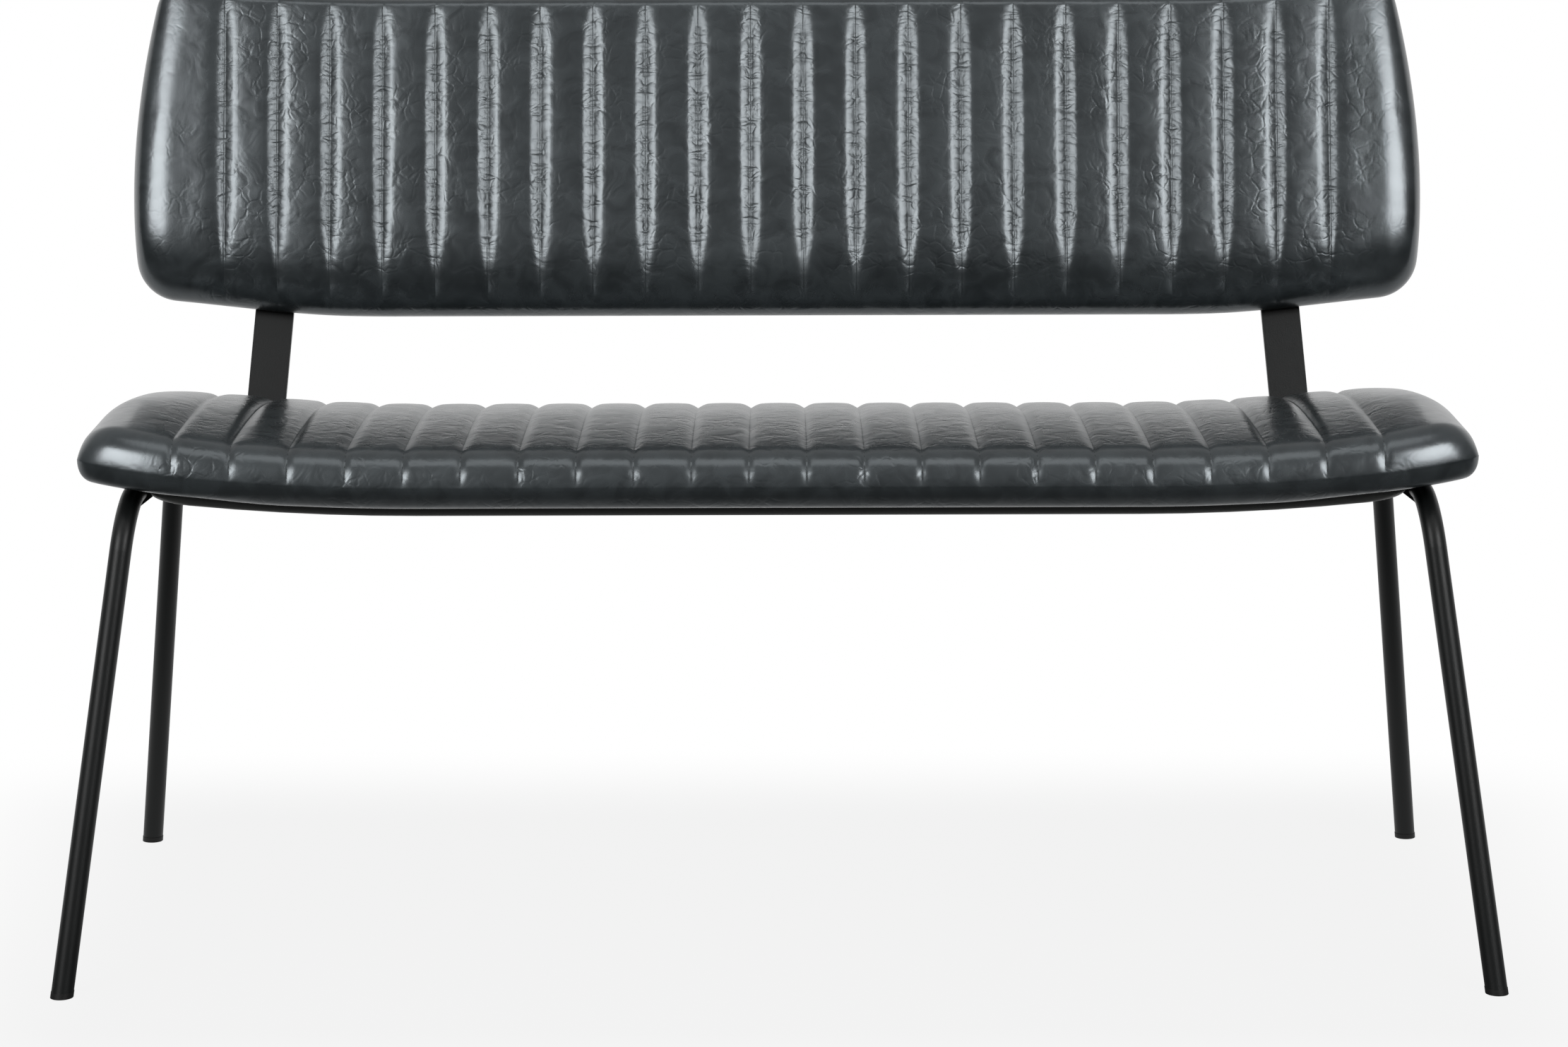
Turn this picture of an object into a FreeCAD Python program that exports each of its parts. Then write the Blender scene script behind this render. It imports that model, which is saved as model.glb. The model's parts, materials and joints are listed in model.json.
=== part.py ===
import FreeCAD, Part
import math
import os
from FreeCAD import Placement, Rotation, Vector

# Sizes are in millimetres and degrees. X runs along the bench, the front faces -Y and Z is up.
# Left and right are as a person sees them who stands in front of the bench.

# Seat
SEAT_LENGTH = 1206.0
SEAT_DEPTH = 362.0
SEAT_SETBACK = 5.0
UNDERSIDE_HEIGHT = 395.0
PAD_HEIGHT = 52.0
SEAT_FRONT_CORNER = 35.0
SEAT_REAR_CORNER = 140.0
END_BEND_RADIUS = 2000.0
END_BEND_REACH = 291.0

# Layers of seat and back
BASE_THICKNESS = 12.0
CORE_THICKNESS = 15.0
CORE_INSET = 20.0
COVER_THICKNESS = 1.4
QUILT_THICKNESS = 5.0
FLANGE_WIDTH = 34.0
LAYER_EASE = 0.2

# Base panel: how far its edges stand back from the pad, and its ends from the leg frames
BASE_FRONT_INSET = 30.0
BASE_REAR_INSET = 36.0
BASE_RAIL_GAP = 4.0
BASE_FRONT_CORNER = 40.0
BASE_REAR_CORNER = 60.0
BASE_EDGE_ROUND = 6.0

# Leg frames
LEG_INSET = 42.0
TUBE_DIAMETER = 19.0
TUBE_WALL = 1.5
TUBE_BEND_RADIUS = 55.0
LEG_LEAN = 15.0
FOOT_OVERHANG = 75.5
GLIDE_HEIGHT = 5.0
GLIDE_PLUG_LENGTH = 22.0
GLIDE_LIP = 0.3
GLIDE_EASE = 0.2

# Mount plates on the inner side of the leg frames
PLATE_THICKNESS = 4.0
PLATE_LENGTH = 60.0
PLATE_WIDTH = 40.0
PLATE_INSET = 119.0
PLATE_BOLT_INSET = 21.0
PLATE_BOLT_SPACING = 36.0
WELD_GAP = 0.1
WELD_LEG = 6.0
WELD_LENGTH = 48.0

# Back
BACK_TOP_LENGTH = 1174.0
BACK_HEIGHT = 301.0
BACK_THICKNESS = 45.0
BACK_END_LEAN = 4.0
BACK_RAKE = 15.0
BACK_BOTTOM_HEIGHT = 517.5
BACK_BEHIND_SEAT = 38.5
BACK_BOTTOM_CORNER = 42.0
BACK_TOP_CORNER = 26.0
BACK_WING_REACH = 150.0
BACK_WING_SLOPE = 6.0
BACK_WING_RADIUS = 2000.0
BACK_FRONT_ROUND = 24.0
BACK_REAR_ROUND = 10.0
BACK_BOARD_THICKNESS = 12.0
BACK_BOARD_INSET = 24.0
REAR_PANEL_THICKNESS = 3.0
REAR_PANEL_INSET = 16.0

# Back brackets
BRACKET_INSET = 116.0
BAR_WIDTH = 36.0
BAR_THICKNESS = 6.0
BAR_BEND_RADIUS = 50.0
BRACKET_FOOT_LENGTH = 104.0
BRACKET_RISER_REACH = 150.0
BRACKET_EASE = 0.6
FOOT_BOLTS_FROM_TIP = (22.0, 66.0)
RISER_BOLTS_FROM_BOTTOM = (60.0, 128.0)

# Fasteners
BOLT_DIAMETER = 8.0
BOLT_HEAD_DIAMETER = 14.0
BOLT_HEAD_HEIGHT = 4.4
BOLT_SOCKET = 5.0
BOLT_SOCKET_DEPTH = 2.6
BOLT_TIP_SHORT = 2.0
BOLT_HOLE_EASE = 0.5
WASHER_DIAMETER = 16.0
WASHER_THICKNESS = 1.6
TEE_BARREL_DIAMETER = 10.0
TEE_BARREL_LENGTH = 11.0
TEE_FLANGE_DIAMETER = 20.0
TEE_FLANGE_THICKNESS = 1.5
TEE_RECESS = 0.3
TEE_EASE = 0.1
SCREW_DIAMETER = 4.0
SCREW_HEAD_DIAMETER = 8.0
SCREW_LENGTH = 24.0
SCREW_SINK = 0.3
SCREW_COLUMNS = 5
SCREW_SPAN = 840.0
SCREW_EDGE = 34.0
STAPLE_WIDTH = 10.0
STAPLE_WIRE = 0.6
STAPLE_BREADTH = 1.2
STAPLE_LEG = 8.0
STAPLE_PITCH = 60.0

# Places that follow from the sizes above
FAR = 3000.0
CUT_TOLERANCE = 0.001
SEAT_FRONT = SEAT_SETBACK - SEAT_DEPTH / 2
SEAT_REAR = SEAT_SETBACK + SEAT_DEPTH / 2
HALF_SEAT = SEAT_LENGTH / 2
BEND_START = HALF_SEAT - END_BEND_REACH
BEND_CENTRE = UNDERSIDE_HEIGHT + END_BEND_RADIUS
PAD_BOTTOM = BASE_THICKNESS + LAYER_EASE
BEND_SWEEP = math.degrees(1.3 * END_BEND_REACH / (END_BEND_RADIUS - PAD_BOTTOM - PAD_HEIGHT))
CORE_BOTTOM = PAD_BOTTOM + COVER_THICKNESS + LAYER_EASE
CORE_TOP = CORE_BOTTOM + CORE_THICKNESS
QUILT_INSET = COVER_THICKNESS + LAYER_EASE
FOAM_INSET = QUILT_INSET + QUILT_THICKNESS + LAYER_EASE
LEG_STATION = HALF_SEAT - LEG_INSET
FOOT_SPREAD = SEAT_DEPTH + 2 * FOOT_OVERHANG
PLATE_SPACING = SEAT_DEPTH - 2 * PLATE_INSET
BACK_BOTTOM_SETBACK = SEAT_REAR + BACK_BEHIND_SEAT
BRACKET_STATION = HALF_SEAT - BRACKET_INSET
RAIL_DROP = PLATE_THICKNESS / 2
PLATE_EDGE = LEG_STATION - TUBE_DIAMETER / 2 - WELD_GAP
REAR_STACK = COVER_THICKNESS + LAYER_EASE + REAR_PANEL_THICKNESS
BACK_PAD_REAR = -REAR_STACK - LAYER_EASE
BACK_PAD_FRONT = BACK_PAD_REAR - BACK_THICKNESS
BACK_BOARD_REAR = BACK_PAD_REAR - COVER_THICKNESS - LAYER_EASE
BACK_BOARD_FRONT = BACK_BOARD_REAR - BACK_BOARD_THICKNESS
BACK_END_SLOPE = math.tan(math.radians(BACK_END_LEAN))
BACK_HALF_TOP = BACK_TOP_LENGTH / 2
BACK_HALF_BOTTOM = BACK_HALF_TOP + BACK_HEIGHT * BACK_END_SLOPE
BACK_WING_LIFT = BACK_WING_REACH * math.tan(math.radians(BACK_WING_SLOPE))
SIDES = {"left": -1, "right": 1}


# Helpers for outlines, solids and frames

def on_yz(x):
    return lambda u, v: Vector(x, u, v)


def on_xy(z):
    return lambda u, v: Vector(u, v, z)


def on_xz(y):
    return lambda u, v: Vector(u, y, v)


def rounded_wire(corners, to_space, closed=True):
    """Wire through corners given as (u, v, radius), each corner rounded by a tangent arc."""
    spans = []
    count = len(corners)
    for index, (u, v, radius) in enumerate(corners):
        here = Vector(u, v, 0)
        if radius == 0:
            spans.append((here, None, here))
            continue
        before = Vector(*corners[index - 1][:2], 0) - here
        after = Vector(*corners[(index + 1) % count][:2], 0) - here
        before.normalize()
        after.normalize()
        half = before.getAngle(after) / 2
        middle = before + after
        middle.normalize()
        reach = radius / math.tan(half)
        dip = radius / math.sin(half) - radius
        spans.append((here + before * reach, here + middle * dip, here + after * reach))
    edges = []
    for index, (start, dip, end) in enumerate(spans):
        if dip:
            points = [to_space(point.x, point.y) for point in (start, dip, end)]
            edges.append(Part.Arc(*points).toShape())
        if index == count - 1 and not closed:
            break
        ahead = spans[(index + 1) % count][0]
        if end.distanceToPoint(ahead) > 1e-6:
            edges.append(Part.LineSegment(to_space(end.x, end.y), to_space(ahead.x, ahead.y)).toShape())
    return Part.Wire(edges)


def inset_face(wire, inset):
    return Part.Face(wire.makeOffset2D(-inset) if inset else wire)


def one_solid(shape):
    solids = shape.Solids
    if len(solids) != 1:
        raise ValueError(f"expected one solid, got {len(solids)}")
    return solids[0]


def placed(shape, frame):
    copy = shape.copy()
    copy.Placement = frame.multiply(copy.Placement)
    return copy


def group(shape, frames):
    return Part.makeCompound([placed(shape, frame) for frame in frames])


def mirrored(shape):
    return shape.mirror(Vector(0, 0, 0), Vector(1, 0, 0))


# The bent seat

def bent_sweep(face, keep=None):
    """Carry a face drawn at the right bend line across the flat middle and up both bent ends.

    What lies outside the solid called keep is cut away before the three lengths are joined.
    """
    middle = face.extrude(Vector(-2 * BEND_START, 0, 0))
    right = face.revolve(Vector(BEND_START, 0, BEND_CENTRE), Vector(0, -1, 0), BEND_SWEEP)
    if keep:
        middle = middle.common([keep], CUT_TOLERANCE)
        right = right.common([keep], CUT_TOLERANCE)
    return middle.fuse([right, mirrored(right)])


def bent_slab(bottom, top):
    """Layer of the bent seat between two heights above the underside, wider than the seat."""
    low = UNDERSIDE_HEIGHT + bottom
    high = UNDERSIDE_HEIGHT + top
    corners = [(-FAR, low, 0), (FAR, low, 0), (FAR, high, 0), (-FAR, high, 0)]
    return bent_sweep(Part.Face(rounded_wire(corners, on_yz(BEND_START))))


def seat_frame(x, y, height):
    """Frame on the bent seat: +Z is the seat's own normal, height counts from the underside."""
    side = math.copysign(1, x)
    slope = math.asin(max(0, abs(x) - BEND_START) / END_BEND_RADIUS)
    rise = END_BEND_RADIUS * (1 - math.cos(slope))
    origin = Vector(
        x - side * height * math.sin(slope),
        y,
        UNDERSIDE_HEIGHT + rise + height * math.cos(slope),
    )
    return Placement(origin, Rotation(Vector(0, 1, 0), -side * math.degrees(slope)))


def plan_wire(front, rear, half_length, front_corner, rear_corner):
    corners = [
        (-half_length, front, front_corner),
        (half_length, front, front_corner),
        (half_length, rear, rear_corner),
        (-half_length, rear, rear_corner),
    ]
    return rounded_wire(corners, on_xy(0))


def seat_plan(inset):
    outline = plan_wire(SEAT_FRONT, SEAT_REAR, HALF_SEAT, SEAT_FRONT_CORNER, SEAT_REAR_CORNER)
    return inset_face(outline, inset).extrude(Vector(0, 0, FAR))


def pad_section():
    """Cross-section of the seat pad: crowned top, full rounded nose, softer fall at the rear."""
    height = PAD_HEIGHT
    base = UNDERSIDE_HEIGHT + PAD_BOTTOM
    corners = [
        (SEAT_FRONT + 0.23 * height, base, 0.12 * height),
        (SEAT_REAR - 0.27 * height, base, 0.19 * height),
        (SEAT_REAR, base + 0.23 * height, 0.23 * height),
        (SEAT_REAR, base + 0.6 * height, 0.3 * height),
        (SEAT_REAR - 1.3 * height, base + 0.87 * height, 3.8 * height),
        (SEAT_SETBACK, base + height, 17 * height),
        (SEAT_FRONT, base + 0.905 * height, 0.56 * height),
        (SEAT_FRONT, base + 0.19 * height, 0.23 * height),
    ]
    return rounded_wire(corners, on_yz(BEND_START))


def pad_ends():
    """Side elevation that rounds the top of both pad ends, a little longer than the pad."""
    top_radius = END_BEND_RADIUS - PAD_BOTTOM - PAD_HEIGHT
    rise = top_radius - math.sqrt(top_radius**2 - END_BEND_REACH**2)
    top = UNDERSIDE_HEIGHT + PAD_BOTTOM + 0.88 * PAD_HEIGHT + rise
    end = HALF_SEAT + 0.02 * PAD_HEIGHT
    corners = [
        (-end, 0, 0),
        (end, 0, 0),
        (end, top, 0.58 * PAD_HEIGHT),
        (-end, top, 0.58 * PAD_HEIGHT),
    ]
    return rounded_wire(corners, on_xz(-FAR))


def seat_pad(inset):
    """The seat pad, or the same shape smaller by an inset all round."""
    ends = inset_face(pad_ends(), inset).extrude(Vector(0, 2 * FAR, 0))
    outline = seat_plan(inset).common(ends)
    return one_solid(bent_sweep(inset_face(pad_section(), inset), outline))


# Fasteners: the washer or head bears on z = 0 and the shank points to +Z

def bolt(reach):
    head_bottom = Vector(0, 0, -WASHER_THICKNESS - BOLT_HEAD_HEIGHT)
    crown = 0.35 * BOLT_HEAD_DIAMETER
    head = Part.makeCone(crown, BOLT_HEAD_DIAMETER / 2, BOLT_HEAD_HEIGHT, head_bottom)
    shank_length = WASHER_THICKNESS + reach - BOLT_TIP_SHORT
    shank = Part.makeCylinder(BOLT_DIAMETER / 2, shank_length, Vector(0, 0, -WASHER_THICKNESS))
    flats = [
        head_bottom + Vector(math.cos(turn), math.sin(turn), 0) * BOLT_SOCKET / math.sqrt(3)
        for turn in (math.radians(60 * step) for step in range(7))
    ]
    socket = Part.Face(Part.makePolygon(flats)).extrude(Vector(0, 0, BOLT_SOCKET_DEPTH))
    return one_solid(head.fuse(shank).cut(socket))


def washer():
    start = Vector(0, 0, -WASHER_THICKNESS)
    disc = Part.makeCylinder(WASHER_DIAMETER / 2, WASHER_THICKNESS, start)
    hole = Part.makeCylinder(BOLT_DIAMETER / 2 + TEE_EASE, WASHER_THICKNESS, start)
    return disc.cut(hole)


def tee_nut_blank(reach, ease):
    top = reach - TEE_RECESS
    flange_start = Vector(0, 0, top - TEE_FLANGE_THICKNESS)
    barrel_start = Vector(0, 0, top - TEE_BARREL_LENGTH)
    flange = Part.makeCylinder(TEE_FLANGE_DIAMETER / 2 + ease, TEE_FLANGE_THICKNESS, flange_start)
    barrel = Part.makeCylinder(TEE_BARREL_DIAMETER / 2 + ease, TEE_BARREL_LENGTH, barrel_start)
    return flange.fuse(barrel)


def tee_nut(reach):
    bore = Part.makeCylinder(BOLT_DIAMETER / 2 + TEE_EASE, 2 * reach)
    return one_solid(tee_nut_blank(reach, 0).cut(bore))


def tee_nut_seat(reach):
    """Room for a tee nut in its board: barrel hole right through and a sunk seat for the flange."""
    hole = Part.makeCylinder(TEE_BARREL_DIAMETER / 2 + TEE_EASE, 2 * reach)
    top = Vector(0, 0, reach - TEE_RECESS - TEE_FLANGE_THICKNESS)
    seat = Part.makeCylinder(TEE_FLANGE_DIAMETER / 2 + TEE_EASE, reach, top)
    return hole.fuse(seat)


def bolt_hole(reach):
    return Part.makeCylinder(BOLT_DIAMETER / 2 + BOLT_HOLE_EASE, 2 * reach, Vector(0, 0, -reach))


def screw():
    sink = (SCREW_HEAD_DIAMETER - SCREW_DIAMETER) / 2
    head = Part.makeCone(SCREW_HEAD_DIAMETER / 2, SCREW_DIAMETER / 2, sink)
    shank = Part.makeCylinder(SCREW_DIAMETER / 2, SCREW_LENGTH)
    return one_solid(head.fuse(shank))


def screw_hole():
    mouth = Part.makeCylinder(SCREW_HEAD_DIAMETER / 2, SCREW_LENGTH, Vector(0, 0, -SCREW_LENGTH))
    return screw().fuse(mouth)


def staple():
    crown = Part.makeBox(
        STAPLE_WIDTH, STAPLE_BREADTH, STAPLE_WIRE, Vector(-STAPLE_WIDTH / 2, -STAPLE_BREADTH / 2, 0)
    )
    legs = [
        Part.makeBox(STAPLE_WIRE, STAPLE_BREADTH, STAPLE_LEG, Vector(x, -STAPLE_BREADTH / 2, 0))
        for x in (-STAPLE_WIDTH / 2, STAPLE_WIDTH / 2 - STAPLE_WIRE)
    ]
    return one_solid(crown.fuse(legs))


def staple_places(wire):
    """Point and heading of each staple along a flat closed outline in X and Y."""
    count = round(wire.Length / STAPLE_PITCH)
    points = wire.discretize(Number=4 * count + 1)
    for index in range(0, 4 * count, 4):
        heading = points[index + 1] - points[index - 1 if index else -2]
        yield points[index], math.degrees(math.atan2(heading.y, heading.x))


# Frames and bolts of legs and brackets

LEG_REACH = PLATE_THICKNESS + CORE_TOP
FOOT_REACH = BAR_THICKNESS + CORE_TOP
RISER_REACH = BAR_THICKNESS + BRACKET_EASE - BACK_BOARD_FRONT


def leg_bolt_frames():
    station = PLATE_EDGE - PLATE_BOLT_INSET
    return [
        seat_frame(side * station, plate_y + bolt_y, -PLATE_THICKNESS)
        for side in SIDES.values()
        for plate_y in (-PLATE_SPACING / 2, PLATE_SPACING / 2)
        for bolt_y in (-PLATE_BOLT_SPACING / 2, PLATE_BOLT_SPACING / 2)
    ]


def bracket_frame(side):
    return seat_frame(side * BRACKET_STATION, 0, 0)


def riser_line():
    """Where the riser plane meets the underside in the bracket's own frame, and its lean there."""
    frame = bracket_frame(1)
    rake = math.tan(math.radians(BACK_RAKE))
    tilt = math.asin((BRACKET_STATION - BEND_START) / END_BEND_RADIUS)
    corner = BACK_BOTTOM_SETBACK - rake * (BACK_BOTTOM_HEIGHT - frame.Base.z)
    return corner, math.atan(rake * math.cos(tilt)), tilt


def riser_distance(up_back):
    """Distance along the riser to a point so far up the back from its lower edge."""
    _, lean, tilt = riser_line()
    height = BACK_BOTTOM_HEIGHT + up_back * math.cos(math.radians(BACK_RAKE))
    return (height - bracket_frame(1).Base.z) / math.cos(tilt) / math.cos(lean)


def riser_point(distance, behind):
    """Point (y, z) of the bracket's own frame, along the riser and behind the back's rear plane."""
    corner, lean, _ = riser_line()
    y = corner + distance * math.sin(lean) + behind * math.cos(lean)
    z = distance * math.cos(lean) - behind * math.sin(lean)
    return y, z


def foot_tip():
    corner, lean, _ = riser_line()
    tangent = BAR_BEND_RADIUS * math.tan((math.pi / 2 - lean) / 2)
    return corner - tangent - BRACKET_FOOT_LENGTH


def foot_bolt_frames():
    return [
        seat_frame(side * BRACKET_STATION, foot_tip() + along, -BAR_THICKNESS)
        for side in SIDES.values()
        for along in FOOT_BOLTS_FROM_TIP
    ]


def riser_bolt_frames(sides=tuple(SIDES.values())):
    _, lean, _ = riser_line()
    turn = Rotation(Vector(1, 0, 0), 90 - math.degrees(lean))
    frames = []
    for side in sides:
        for up_back in RISER_BOLTS_FROM_BOTTOM:
            y, z = riser_point(riser_distance(up_back), BRACKET_EASE + BAR_THICKNESS)
            frames.append(bracket_frame(side).multiply(Placement(Vector(0, y, z), turn)))
    return frames


def screw_frames():
    step = SCREW_SPAN / (SCREW_COLUMNS - 1)
    rows = (SEAT_FRONT + BASE_FRONT_INSET + SCREW_EDGE, SEAT_REAR - BASE_REAR_INSET - SCREW_EDGE)
    return [
        seat_frame(column * step - SCREW_SPAN / 2, y, SCREW_SINK)
        for column in range(SCREW_COLUMNS)
        for y in rows
    ]


# Seat pieces

def seat_staple_frames():
    outline = plan_wire(SEAT_FRONT, SEAT_REAR, HALF_SEAT, SEAT_FRONT_CORNER, SEAT_REAR_CORNER)
    outline = outline.makeOffset2D(-(CORE_INSET + FLANGE_WIDTH) / 2)
    height = PAD_BOTTOM + (COVER_THICKNESS - STAPLE_WIRE) / 2
    return [
        seat_frame(point.x, point.y, height).multiply(Placement(Vector(), Rotation(Vector(0, 0, 1), turn)))
        for point, turn in staple_places(outline)
    ]


def on_lower_rim(edge):
    """Whether an edge runs round the base panel's underside, rather than across it or up its side."""
    ends = [vertex.Point for vertex in edge.Vertexes]
    across = all(abs(abs(end.x) - BEND_START) < 1e-3 for end in ends)
    return not across and all(abs(end.z - seat_frame(end.x, end.y, 0).Base.z) < 1e-3 for end in ends)


def seat_base_panel():
    outline = plan_wire(
        SEAT_FRONT + BASE_FRONT_INSET,
        SEAT_REAR - BASE_REAR_INSET,
        PLATE_EDGE - BASE_RAIL_GAP,
        BASE_FRONT_CORNER,
        BASE_REAR_CORNER,
    )
    panel = bent_slab(0, BASE_THICKNESS).common(Part.Face(outline).extrude(Vector(0, 0, FAR)))
    panel = panel.makeFillet(BASE_EDGE_ROUND, [edge for edge in panel.Edges if on_lower_rim(edge)])
    panel = panel.cut(group(bolt_hole(LEG_REACH), leg_bolt_frames()))
    panel = panel.cut(group(bolt_hole(FOOT_REACH), foot_bolt_frames()))
    return one_solid(panel.cut(group(screw_hole(), screw_frames())))


def seat_core_board(staples):
    board = bent_slab(CORE_BOTTOM, CORE_TOP).common(seat_plan(CORE_INSET))
    board = board.cut(group(tee_nut_seat(LEG_REACH), leg_bolt_frames()))
    board = board.cut(group(tee_nut_seat(FOOT_REACH), foot_bolt_frames()))
    return one_solid(board.cut(group(screw(), screw_frames())).cut(staples))


def seat_foam():
    board_room = bent_slab(-FAR / 10, CORE_TOP + LAYER_EASE).common(seat_plan(CORE_INSET - LAYER_EASE))
    return one_solid(seat_pad(FOAM_INSET).cut(board_room))


def seat_quilt():
    layer = seat_pad(QUILT_INSET).cut(seat_pad(QUILT_INSET + QUILT_THICKNESS))
    return one_solid(layer.cut(bent_slab(-FAR / 10, (CORE_BOTTOM + CORE_TOP) / 2)))


def seat_cover(staples):
    skin = seat_pad(0).cut(seat_pad(COVER_THICKNESS))
    opening = bent_slab(0, CORE_TOP).common(seat_plan(FLANGE_WIDTH))
    return one_solid(skin.cut(opening).cut(staples))


# Leg frames

def leg_path():
    """Centre line of one leg frame in its own upright plane, from below the front foot to the rear one."""
    frame = seat_frame(LEG_STATION, 0, 0)
    tilt = math.asin((LEG_STATION - BEND_START) / END_BEND_RADIUS)
    floor = -frame.Base.z / math.cos(tilt)
    lean = math.tan(math.radians(LEG_LEAN))
    shoulder = FOOT_SPREAD / 2 - lean * (-RAIL_DROP - floor)
    below = 2 * TUBE_DIAMETER
    toe = FOOT_SPREAD / 2 + lean * below
    return [
        (-toe, floor - below, 0),
        (-shoulder, -RAIL_DROP, TUBE_BEND_RADIUS),
        (shoulder, -RAIL_DROP, TUBE_BEND_RADIUS),
        (toe, floor - below, 0),
    ]


def leg_rod(radius):
    corners = leg_path()
    path = rounded_wire(corners, on_yz(0), closed=False)
    toe, shoulder = (Vector(0, *corner[:2]) for corner in corners[:2])
    ring = Part.Wire(Part.makeCircle(radius, toe, shoulder - toe))
    return path.makePipe(Part.Face(ring))


def leg_frame(side):
    tube = leg_rod(TUBE_DIAMETER / 2).cut(leg_rod(TUBE_DIAMETER / 2 - TUBE_WALL))
    tube = placed(tube, seat_frame(side * LEG_STATION, 0, 0))
    above_glides = Part.makeBox(2 * FAR, 2 * FAR, FAR, Vector(-FAR, -FAR, GLIDE_HEIGHT))
    return one_solid(tube.common(above_glides))


def glides(side):
    """Front and rear glide of one leg frame: a flat foot under the tube end and a plug inside it."""
    rise = Vector(-FAR, -FAR, 0)
    foot_slab = Part.makeBox(2 * FAR, 2 * FAR, GLIDE_HEIGHT, rise)
    plug_slab = Part.makeBox(2 * FAR, 2 * FAR, GLIDE_HEIGHT + GLIDE_PLUG_LENGTH, rise)
    frame = seat_frame(side * LEG_STATION, 0, 0)
    foot = placed(leg_rod(TUBE_DIAMETER / 2 + GLIDE_LIP), frame).common(foot_slab)
    plug = placed(leg_rod(TUBE_DIAMETER / 2 - TUBE_WALL - GLIDE_EASE), frame).common(plug_slab)
    return sorted(foot.fuse(plug).removeSplitter().Solids, key=lambda solid: solid.BoundBox.YMin)


def mount_plate(side, end):
    """Plate that stands out from the rail of a leg frame, rolled to the bend of the seat."""
    left = min(side * PLATE_EDGE, side * (PLATE_EDGE - PLATE_WIDTH))
    front = (end * PLATE_SPACING - PLATE_LENGTH) / 2
    block = Part.makeBox(PLATE_WIDTH, PLATE_LENGTH, FAR, Vector(left, front, 0))
    plate = bent_slab(-PLATE_THICKNESS, 0).common(block)
    return one_solid(plate.cut(group(bolt_hole(LEG_REACH), leg_bolt_frames())))


def plate_welds():
    """One bead under each mount plate, in the corner between plate and tube."""
    radius = TUBE_DIAMETER / 2
    top = -PLATE_THICKNESS - WELD_GAP
    start = Vector(0, -WELD_LENGTH / 2, -RAIL_DROP)
    tube = Part.makeCylinder(radius + WELD_GAP, WELD_LENGTH, start, Vector(0, 1, 0))
    toe = WELD_LEG - radius
    corners = [(toe, top, 0), (-radius - WELD_LEG, top, 0), (toe, top - 2 * WELD_LEG, 0)]
    bead = Part.Face(rounded_wire(corners, on_xz(-WELD_LENGTH / 2))).extrude(Vector(0, WELD_LENGTH, 0))
    bead = one_solid(bead.cut(tube))
    beads = {1: bead, -1: mirrored(bead)}
    return [
        placed(beads[side], seat_frame(side * LEG_STATION, end * PLATE_SPACING / 2, 0))
        for side in SIDES.values()
        for end in (-1, 1)
    ]


# Back: drawn upright with its rear plane on y = 0, then raked

BACK_FRAME = Placement(
    Vector(0, BACK_BOTTOM_SETBACK, BACK_BOTTOM_HEIGHT), Rotation(Vector(1, 0, 0), -BACK_RAKE)
)


def back_outline():
    """Outline of the back: ends lean in, and the upper and lower edge turn up towards them."""
    low_wing = BACK_HALF_BOTTOM - BACK_WING_REACH
    high_wing = BACK_HALF_TOP - BACK_WING_REACH
    high = BACK_HEIGHT + BACK_WING_LIFT
    corners = [
        (-BACK_HALF_BOTTOM, BACK_WING_LIFT, BACK_BOTTOM_CORNER),
        (-low_wing, 0, BACK_WING_RADIUS),
        (low_wing, 0, BACK_WING_RADIUS),
        (BACK_HALF_BOTTOM, BACK_WING_LIFT, BACK_BOTTOM_CORNER),
        (BACK_HALF_TOP, high, BACK_TOP_CORNER),
        (high_wing, BACK_HEIGHT, BACK_WING_RADIUS),
        (-high_wing, BACK_HEIGHT, BACK_WING_RADIUS),
        (-BACK_HALF_TOP, high, BACK_TOP_CORNER),
    ]
    return rounded_wire(corners, on_xz(0))


def back_slab(rear, front, inset):
    """Flat layer of the back between two depths, inside the outline by an inset."""
    face = inset_face(back_outline(), inset)
    face.translate(Vector(0, front, 0))
    return face.extrude(Vector(0, rear - front, 0))


def edges_at_depth(solid, depth):
    return [edge for edge in solid.Edges if all(abs(end.Y - depth) < 1e-6 for end in edge.Vertexes)]


def back_pad(inset):
    """The back pad with rolled edges, or the same shape smaller by an inset all round."""
    rear = BACK_PAD_REAR - inset
    front = BACK_PAD_FRONT + inset
    pad = back_slab(rear, front, inset)
    pad = pad.makeFillet(BACK_FRONT_ROUND - inset, edges_at_depth(pad, front))
    return one_solid(pad.makeFillet(BACK_REAR_ROUND - inset, edges_at_depth(pad, rear)))


def upright_riser_frames():
    """Frames of the riser bolts as seen from the upright back."""
    return [BACK_FRAME.inverse().multiply(frame) for frame in riser_bolt_frames()]


def back_staple_frames():
    outline = back_outline().makeOffset2D(-(BACK_BOARD_INSET + FLANGE_WIDTH) / 2)
    flat = outline.copy()
    flat.rotate(Vector(0, 0, 0), Vector(1, 0, 0), -90)
    lie_down = Rotation(Vector(1, 0, 0), 90)
    depth = BACK_PAD_REAR - (COVER_THICKNESS - STAPLE_WIRE) / 2
    return [
        Placement(Vector(point.x, depth, point.y), lie_down.multiply(Rotation(Vector(0, 0, 1), turn)))
        for point, turn in staple_places(flat)
    ]


def back_board(staples):
    board = back_slab(BACK_BOARD_REAR, BACK_BOARD_FRONT, BACK_BOARD_INSET)
    return one_solid(board.cut(group(tee_nut_seat(RISER_REACH), upright_riser_frames())).cut(staples))


def back_foam():
    board_room = back_slab(FAR, BACK_BOARD_FRONT - LAYER_EASE, BACK_BOARD_INSET - LAYER_EASE)
    return one_solid(back_pad(FOAM_INSET).cut(board_room))


def back_quilt():
    layer = back_pad(QUILT_INSET).cut(back_pad(QUILT_INSET + QUILT_THICKNESS))
    return one_solid(layer.cut(back_slab(FAR, (BACK_BOARD_REAR + BACK_BOARD_FRONT) / 2, 0)))


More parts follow.
